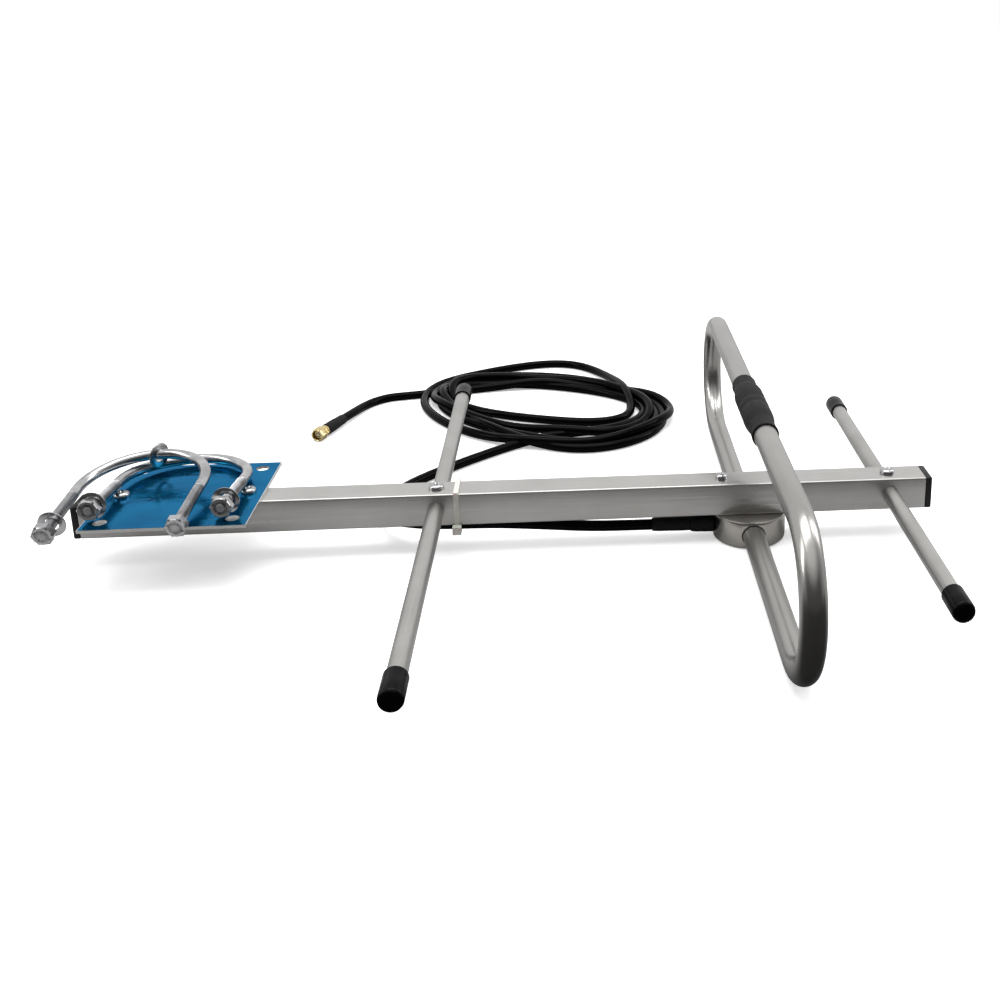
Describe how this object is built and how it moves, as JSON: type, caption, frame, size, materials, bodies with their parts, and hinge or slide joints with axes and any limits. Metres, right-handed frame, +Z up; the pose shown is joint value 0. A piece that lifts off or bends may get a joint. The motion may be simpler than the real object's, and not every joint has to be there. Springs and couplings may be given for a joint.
{
  "type": "three-element yagi antenna with folded dipole",
  "caption": "Short aluminium yagi antenna with a folded dipole, mast plate, loose U-bolts and a coiled coaxial lead with a threaded plug.",
  "frame": {"origin": "centre of the four U-bolt holes on the top face of the mast plate", "axes": "+X along the boom from the mast plate to the director, +Y along the elements toward the coil, +Z up through the plate"},
  "size_m": [0.4631, 0.487, 0.0861],
  "materials": {
    "anodised": "satin anodised, drawn along its length",
    "plate_alu": "rolled sheet, satin",
    "film": "thin blue translucent protective film, slightly wrinkled",
    "zinc": "bright zinc plate",
    "vinyl": "soft black vinyl with a satin sheen",
    "shrink": "dark grey heat-shrink tube, matte",
    "cable": "black cable jacket with a soft sheen",
    "black_plastic": "moulded black plastic",
    "cast": "turned and satin finished",
    "nylon": "natural nylon, slightly translucent",
    "gold": "gold plated",
    "copper": "bare copper",
    "white_plastic": "white plastic"
  },
  "bodies": {
    "antenna": {"boom_tube": "anodised", "boom_cap_rear": "black_plastic", "boom_cap_front": "black_plastic", "mast_plate": "plate_alu", "plate_film": "film", "plate_screws": "zinc", "reflector_tube": "anodised", "reflector_cap_near": "vinyl", "reflector_cap_far": "vinyl", "reflector_screw": "zinc", "director_tube": "anodised", "director_cap_near": "vinyl", "director_cap_far": "vinyl", "director_screw": "zinc", "dipole_half_near": "anodised", "dipole_half_far": "anodised", "dipole_coupler": "plate_alu", "dipole_sleeve": "shrink", "feed_box_lid": "cast", "feed_box_cup": "cast", "feed_box_screws": "zinc", "feed_box_nuts": "zinc", "feed_spacer": "white_plastic", "terminal_lugs": "copper", "terminal_screws": "zinc", "core_wire": "copper", "braid_wire": "copper", "feed_shrink_wide": "shrink", "feed_shrink_thin": "shrink", "cable_lead": "cable", "cable_coil": "cable", "cable_tail": "cable", "cable_tie": "nylon", "plug_boot": "shrink", "plug_ferrule": "gold", "plug_body": "gold", "plug_pin": "gold", "plug_insulator": "white_plastic"},
    "lower_ubolt": {"ubolt_lower": "zinc"},
    "upper_ubolt": {"ubolt_upper": "zinc"},
    "lower_left_washer": {"washer_lower_left": "zinc"},
    "lower_left_nut": {"nut_lower_left": "zinc"},
    "lower_right_washer": {"washer_lower_right": "zinc"},
    "lower_right_nut": {"nut_lower_right": "zinc"},
    "upper_left_washer": {"washer_upper_left": "zinc"},
    "upper_left_nut": {"nut_upper_left": "zinc"},
    "upper_right_nut": {"nut_upper_right": "zinc"},
    "loose_washer": {"washer_loose": "zinc"},
    "plug_ring": {"plug_nut": "gold"}
  },
  "joints": [
    {"name": "lower_ubolt_lift", "type": "slide", "parent": "antenna", "child": "lower_ubolt", "axis": [0, 0, 1], "range_m": [0, 0.04]},
    {"name": "upper_ubolt_lift", "type": "slide", "parent": "lower_ubolt", "child": "upper_ubolt", "axis": [0, 0, 1], "range_m": [0, 0.04]},
    {"name": "lower_left_washer_slide", "type": "slide", "parent": "lower_ubolt", "child": "lower_left_washer", "axis": [-0.0296, -0.9983, 0.0502], "range_m": [0, 0.012]},
    {"name": "lower_left_nut_turn", "type": "hinge", "parent": "lower_left_washer", "child": "lower_left_nut", "pos_m": [-0.03661, -0.03234, 0.00751], "axis": [-0.0296, -0.9983, 0.0502], "range_deg": [0, 4320.5]},
    {"name": "lower_right_washer_slide", "type": "slide", "parent": "lower_ubolt", "child": "lower_right_washer", "axis": [-0.0296, -0.9983, 0.0502], "range_m": [0, 0.012]},
    {"name": "lower_right_nut_turn", "type": "hinge", "parent": "lower_right_washer", "child": "lower_right_nut", "pos_m": [0.02837, -0.03427, 0.00751], "axis": [-0.0296, -0.9983, 0.0502], "range_deg": [0, 4320.5]},
    {"name": "upper_left_washer_slide", "type": "slide", "parent": "upper_ubolt", "child": "upper_left_washer", "axis": [-0.0432, -0.9893, -0.1392], "range_m": [0, 0.012]},
    {"name": "upper_left_nut_turn", "type": "hinge", "parent": "upper_left_washer", "child": "upper_left_nut", "pos_m": [-0.0552, -0.04348, 0.00029], "axis": [-0.0432, -0.9893, -0.1392], "range_deg": [0, 4320.5]},
    {"name": "upper_right_nut_slide", "type": "slide", "parent": "upper_ubolt", "child": "upper_right_nut", "axis": [-0.0432, -0.9893, -0.1392], "range_m": [0, 0.012]},
    {"name": "loose_washer_swing", "type": "hinge", "parent": "upper_ubolt", "child": "loose_washer", "pos_m": [-0.02061, 0.02792, 0.01219], "axis": [0.9974, -0.0508, 0.0518], "range_deg": [-25, 25]},
    {"name": "plug_nut_spin", "type": "hinge", "parent": "antenna", "child": "plug_ring", "pos_m": [0.03613, 0.16613, -0.0311], "axis": [-0.36, -0.933, 0], "continuous": true}
  ],
  "couplings": [
    {"joint": "lower_left_nut_turn", "follows": "lower_left_washer_slide", "rad_per_m": 6283.2},
    {"joint": "lower_right_nut_turn", "follows": "lower_right_washer_slide", "rad_per_m": 6283.2},
    {"joint": "upper_left_nut_turn", "follows": "upper_left_washer_slide", "rad_per_m": 6283.2}
  ]
}
